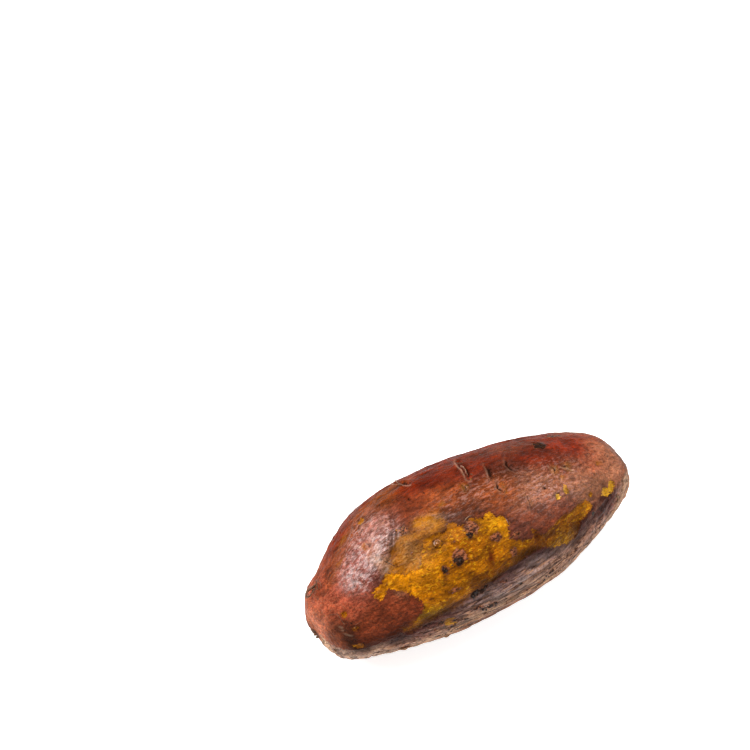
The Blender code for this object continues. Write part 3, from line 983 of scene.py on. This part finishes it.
# ---- Burnt crumbs -----------------------------------------------------------------------------------
# Sugar that boiled out and burnt broke up into black and brown crumbs. They are stuck to the scabs, along
# the ridge, and along the crusted band under it.

CHAR_BLACK = (0.012, 0.008, 0.006)
CHAR_BROWN = (0.075, 0.032, 0.017)
CLINKER = (1.0, 0.7, 3, 0.7)
char, *_ = grained("burnt_sugar", CLINKER, CHAR_BLACK, CHAR_BROWN, (0.46, 0.64), 0.25, 0.7, 0.3)

# Name, place, how far the crumbs spread along and around, how many, and their mean radius.
CRUMB_GROUPS = (
    ("ridge_crumb", (-18, 153.5), 4.6, 1.9, 12, 0.34), ("scab_crumb_a", (-20, 126), 3.0, 1.6, 4, 0.32),
    ("scab_crumb_b", (-11.5, 113.5), 2.2, 1.8, 3, 0.30), ("scab_crumb_c", (-26.5, 127), 1.0, 1.8, 2, 0.30),
    ("band_crumb_a", (-13, 171), 5.0, 1.6, 6, 0.36), ("band_crumb_b", (-30, 184), 8.0, 2.0, 6, 0.36),
    ("band_crumb_c", (10, 175), 8.0, 3.0, 6, 0.34), ("right_crumb", (43, 154), 1.6, 0.8, 3, 0.36),
    ("back_crumb", (25, 20), 4.0, 2.0, 4, 0.42), ("under_crumb", (-40, 350), 2.4, 2.0, 4, 0.40),
)
for name, place, reach_along, reach_around, count, radius in CRUMB_GROUPS:
    spot, _, lengthwise, crosswise = frame_at(place)
    for number in range(count):
        off = scatter.gauss(0, 0.5) * reach_along * lengthwise
        off = off + scatter.gauss(0, 0.5) * reach_around * crosswise
        surface, outward_here = on_root(spot + off)
        size = radius * scatter.uniform(0.7, 1.35)
        stretch = np.array([scatter.uniform(0.7, 1.4) for _ in range(3)])
        ball = bmesh.new()
        bmesh.ops.create_icosphere(ball, subdivisions=3, radius=1.0)
        corners = np.array([corner.co for corner in ball.verts])
        faces = [[corner.index for corner in face.verts] for face in ball.faces]
        ball.free()
        seed = scatter.uniform(0, 50)
        knobs = np.zeros(len(corners))
        for strength, fineness, shift in ((1.0, 1.6, (seed, 0, 0)), (0.4, 4.2, (0, seed, 0))):
            lumpy = [noise.noise(Vector(corner) * fineness + Vector(shift)) for corner in corners]
            knobs += strength * np.array(lumpy)
        corners = corners * (1 + 0.55 * knobs)[:, None] * stretch * size
        corners -= 0.45 * (corners @ outward_here)[:, None] * outward_here
        closed_piece(f"{name}_{number}", corners + surface + 0.15 * size * outward_here, faces, char)

# ---- Beads of set syrup -----------------------------------------------------------------------------
# Sugary juice bubbled out of pores in the flesh and beside the scabs, and set hard as it cooled. Each is
# a dark amber bead sitting in the surface, and one left a ring round its pore.

AMBER_LIGHT = (0.300, 0.105, 0.008)
AMBER_DARK = (0.090, 0.022, 0.003)
SWIRLS = (1.0, 1.2, 3, 0.6)
syrup, tree, shader, swirls = grained(
    "set_syrup", SWIRLS, AMBER_DARK, AMBER_LIGHT, (0.38, 0.62), 0.10, 0.28, 0.15,
)
feed(tree, shader.inputs["Coat Weight"], ranged(tree, swirls, 0.2, 0.8, 0.12, 0.3))
shader.inputs["Coat Roughness"].default_value = 0.08

def turned_bead(place, profile, sides=18):
    """Corners and faces of a bead: (distance out, height) pairs in mm, turned about the way out."""
    spot, out, lengthwise, crosswise = frame_at(place)
    corners = [spot + out * profile[0][1]]
    for distance, rise in profile[1:-1]:
        for turn in np.arange(sides) * 2 * math.pi / sides:
            sideways = math.cos(turn) * lengthwise + math.sin(turn) * crosswise
            corners.append(spot + out * rise + distance * sideways)
    corners.append(spot + out * profile[-1][1])
    faces = []
    for at in range(sides):
        after = (at + 1) % sides
        faces.append((0, 1 + after, 1 + at))
        for ring in range(len(profile) - 3):
            base = 1 + ring * sides
            faces.append((base + at, base + after, base + after + sides, base + at + sides))
        base = 1 + (len(profile) - 3) * sides
        faces.append((base + at, base + after, len(corners) - 1))
    return np.array(corners), faces

RING_PROFILE = (
    (0, -0.8), (1.2, -0.8), (1.75, -0.1), (1.7, 0.35), (1.35, 0.62), (1.0, 0.50), (0.8, 0.22), (0.55, 0.25),
    (0.3, 0.42), (0, 0.48),
)
DROP_PROFILE = ((0, -0.8), (0.7, -0.7), (1.0, -0.1), (0.95, 0.2), (0.7, 0.48), (0.35, 0.62), (0, 0.66))
closed_piece("syrup_ring", *turned_bead(PORE, RING_PROFILE), syrup)

# Name, place, size against the drop's own profile.
BEADS = (
    ("syrup_bead_blister", (-34, 103), 0.75), ("syrup_bead_crease_a", (-33, 86), 0.7),
    ("syrup_bead_crease_b", (-31.5, 82), 0.55), ("syrup_bead_crease_c", (-34, 81), 0.5),
    ("syrup_bead_left", (-72, 106), 0.4), ("syrup_bead_scab", (-12.5, 109), 0.55),
    ("syrup_bead_left_scab", (-65, 144), 0.5), ("syrup_bead_slit", (3.6, 76), 0.7),
    ("syrup_bead_slit_b", (5.2, 72.5), 0.5), ("syrup_bead_back", (-8, 350), 0.8),
    ("syrup_bead_back_b", (-10, 345), 0.5), ("syrup_bead_under", (33, 230), 0.7),
)
for name, place, size in BEADS:
    profile = [(size * distance, size * rise) for distance, rise in DROP_PROFILE]
    closed_piece(name, *turned_bead(place, profile), syrup)

# ---- Where it lies ----------------------------------------------------------------------------------
# A plain white table top, in soft light from a window behind and to the left, a stronger light over it
# and a weak one from the front right. The camera looks down on it from the front left.

TABLE_SIZE = 6.0
TABLE_GLOW = 0.65
ROOM_GLOW = 0.08
table = bpy.data.objects.new("table_top", bpy.data.meshes.new("table_top"))
corners = [(x * TABLE_SIZE / 2, y * TABLE_SIZE / 2, 0) for x, y in ((-1, -1), (1, -1), (1, 1), (-1, 1))]
table.data.from_pydata(corners, [], [(0, 1, 2, 3)])
bpy.context.collection.objects.link(table)
white, _, table_shader = new_material("white_table")
table_shader.inputs["Base Color"].default_value = (0.77, 0.80, 0.80, 1)
table_shader.inputs["Roughness"].default_value = 0.6
table_shader.inputs["Emission Color"].default_value = (1, 1, 1, 1)
table_shader.inputs["Emission Strength"].default_value = TABLE_GLOW
table.data.materials.append(white)

SUBJECT = Vector((0, 0, 0.03))

def soft_light(name, direction, distance, width, depth, watts):
    lamp = bpy.data.lights.new(name, "AREA")
    lamp.shape = "RECTANGLE"
    lamp.size = width
    lamp.size_y = depth
    lamp.energy = watts
    holder = bpy.data.objects.new(name, lamp)
    holder.location = SUBJECT + Vector(direction).normalized() * distance
    holder.rotation_euler = (SUBJECT - holder.location).to_track_quat("-Z", "Y").to_euler()
    bpy.context.collection.objects.link(holder)

soft_light("window", (-0.55, 0.38, 0.74), 1.5, 0.90, 0.60, 20)
soft_light("ceiling", (0.10, 0.10, 1.0), 2.0, 1.4, 1.0, 34)
soft_light("pale_wall", (0.75, -0.45, 0.50), 1.8, 1.2, 1.2, 12)

room = bpy.data.worlds.new("room")
room.use_nodes = True
room.node_tree.nodes["Background"].inputs["Color"].default_value = (1, 1, 1, 1)
room.node_tree.nodes["Background"].inputs["Strength"].default_value = ROOM_GLOW
bpy.context.scene.world = room
bpy.context.scene.view_settings.view_transform = "Standard"
bpy.context.scene.view_settings.look = "Medium High Contrast"

CAMERA_TURN = math.radians(-33)  # from looking along +Y
CAMERA_TILT = math.radians(55)  # above the table
CAMERA_DISTANCE = 0.847  # from the point looked at
LOOKED_AT = Vector((-0.0040, 0.0661, 0.0664))

eye = bpy.data.cameras.new("camera")
eye.lens = 100
camera = bpy.data.objects.new("camera", eye)
backward = Vector((
    math.sin(CAMERA_TURN) * math.cos(CAMERA_TILT),
    -math.cos(CAMERA_TURN) * math.cos(CAMERA_TILT),
    math.sin(CAMERA_TILT),
))
camera.location = LOOKED_AT + backward * CAMERA_DISTANCE
camera.rotation_euler = backward.to_track_quat("Z", "Y").to_euler()
bpy.context.collection.objects.link(camera)
bpy.context.scene.camera = camera
